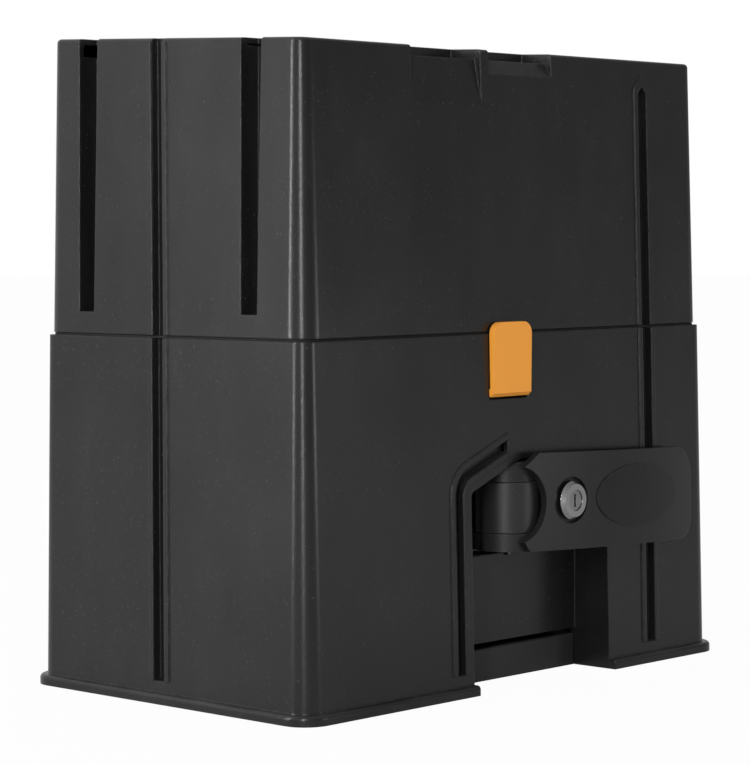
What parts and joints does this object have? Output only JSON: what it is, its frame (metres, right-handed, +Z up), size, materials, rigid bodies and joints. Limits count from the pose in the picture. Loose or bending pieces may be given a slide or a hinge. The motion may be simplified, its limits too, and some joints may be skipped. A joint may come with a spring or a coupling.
{
  "type": "sliding gate motor",
  "caption": "Domestic sliding gate motor: tall satin black two-part casing, orange cover clip, keyed manual-release lever, worm gearbox and rack pinion at the back.",
  "frame": {"origin": "centre of the base bolt pattern, on the underside of the base", "axes": "X along the gate and the wide face, -Y towards the user with the release lever, +Y towards the gate and the pinion, +Z up"},
  "size_m": [0.3332, 0.2455, 0.3386],
  "materials": {
    "housing_plastic": "satin black moulded plastic, fine grain",
    "cover_plastic": "satin black moulded plastic, fine grain",
    "lever_plastic": "satin dark grey moulded plastic",
    "badge_plastic": "bare satin oval plate",
    "clip_plastic": "orange moulded plastic",
    "hub_plastic": "black glass-filled nylon",
    "tray_plastic": "dark grey moulded plastic",
    "block_plastic": "green terminal block plastic",
    "relay_plastic": "blue relay housing",
    "battery_plastic": "grey battery case",
    "board_green": "lacquered circuit board",
    "seal_rubber": "black rubber",
    "gasket_rubber": "dark gasket sheet",
    "strap_fabric": "woven black strap",
    "pin_steel": "bright turned steel",
    "screw_steel": "zinc plated steel",
    "bracket_metal": "zinc plated sheet steel",
    "bracket_black": "black painted casting",
    "shaft_steel": "ground steel",
    "bearing_steel": "polished bearing steel",
    "pinion_steel": "milled zinc plated steel",
    "armature_iron": "laminated iron",
    "magnet_dark": "sintered magnet",
    "terminal_lead": "dull lead tab",
    "charger_metal": "zinc plated sheet case",
    "lock_chrome": "bright chrome",
    "lock_plug": "satin chrome plug",
    "wheel_bronze": "cast bronze, cut teeth",
    "plug_brass": "brass",
    "cast_aluminium": "die-cast aluminium",
    "sink_aluminium": "extruded aluminium",
    "base_metal": "die-cast aluminium base",
    "motor_paint": "black painted steel can"
  },
  "bodies": {
    "root": {"lower_housing": "housing_plastic", "cover_seal": "seal_rubber", "clip_pin": "pin_steel", "release_bracket": "bracket_black", "release_spindle": "pin_steel", "lock_keeper": "bracket_metal", "front_bearing": "bearing_steel", "rear_bearing": "bearing_steel", "oil_seal": "seal_rubber", "worm_bearing_low": "bearing_steel", "worm_bearing_high": "bearing_steel", "gearbox_casing": "cast_aluminium", "casing_gasket": "gasket_rubber", "gearbox_lid": "cast_aluminium", "lid_screws": "screw_steel", "casing_bolts": "screw_steel", "drain_plug": "plug_brass", "motor_can": "motor_paint", "motor_magnets": "magnet_dark", "motor_cap": "cast_aluminium", "base_casting": "base_metal", "housing_screws": "screw_steel", "cable_gland": "seal_rubber", "equipment_tray": "tray_plastic", "battery": "battery_plastic", "battery_terminals": "terminal_lead", "battery_strap": "strap_fabric", "controller_bracket": "bracket_metal", "controller_board": "board_green", "board_standoffs": "pin_steel", "terminal_blocks": "block_plastic", "board_relays": "relay_plastic", "board_heatsink": "sink_aluminium", "charger_unit": "charger_metal"},
    "cover": {"top_cover": "cover_plastic"},
    "clip": {"cover_clip": "clip_plastic"},
    "lever": {"release_lever": "lever_plastic", "badge_plate": "badge_plastic", "release_hub": "hub_plastic", "camlock_barrel": "lock_chrome", "camlock_nut": "screw_steel", "lever_screws": "screw_steel"},
    "lock_plug": {"camlock_plug": "lock_plug", "camlock_cam": "screw_steel", "camlock_screw": "screw_steel"},
    "output": {"output_shaft": "shaft_steel", "output_pinion": "pinion_steel", "pinion_key": "pin_steel", "circlip": "screw_steel", "shaft_spacer": "shaft_steel"},
    "wheel": {"worm_wheel": "wheel_bronze"},
    "rotor": {"worm_shaft": "shaft_steel", "motor_armature": "armature_iron"},
    "plunger": {"release_plunger": "shaft_steel", "drive_pin": "pin_steel", "plunger_spring": "screw_steel"}
  },
  "joints": [
    {"name": "cover_lift", "type": "slide", "parent": "root", "child": "cover", "axis": [0, 0, 1], "range_m": [0, 0.18]},
    {"name": "clip_swing", "type": "hinge", "parent": "root", "child": "clip", "pos_m": [-0.0094, -0.09506, 0.154], "axis": [1, 0, 0], "range_deg": [0, 35]},
    {"name": "lever_swing", "type": "hinge", "parent": "root", "child": "lever", "pos_m": [-0.0035, -0.092, 0.093], "axis": [0, 0, -1], "range_deg": [0, 45]},
    {"name": "lock_turn", "type": "hinge", "parent": "lever", "child": "lock_plug", "pos_m": [0.0283, -0.1, 0.0956], "axis": [0, -1, 0], "range_deg": [0, 90]},
    {"name": "output_turn", "type": "hinge", "parent": "root", "child": "output", "pos_m": [0.006, 0.08, 0.093], "axis": [0, 1, 0], "continuous": true},
    {"name": "wheel_turn", "type": "hinge", "parent": "root", "child": "wheel", "pos_m": [0.006, 0.003, 0.093], "axis": [0, 1, 0], "continuous": true},
    {"name": "rotor_turn", "type": "hinge", "parent": "root", "child": "rotor", "pos_m": [0.0685, 0.003, 0.093], "axis": [0, 0, 1], "continuous": true},
    {"name": "plunger_push", "type": "slide", "parent": "output", "child": "plunger", "axis": [0, 1, 0], "range_m": [-0.00501, 0]}
  ],
  "couplings": [
    {"joint": "wheel_turn", "follows": "output_turn", "ratio": 1},
    {"joint": "rotor_turn", "follows": "output_turn", "ratio": 20},
    {"joint": "plunger_push", "follows": "lever_swing", "m_per_rad": -0.0063662}
  ]
}
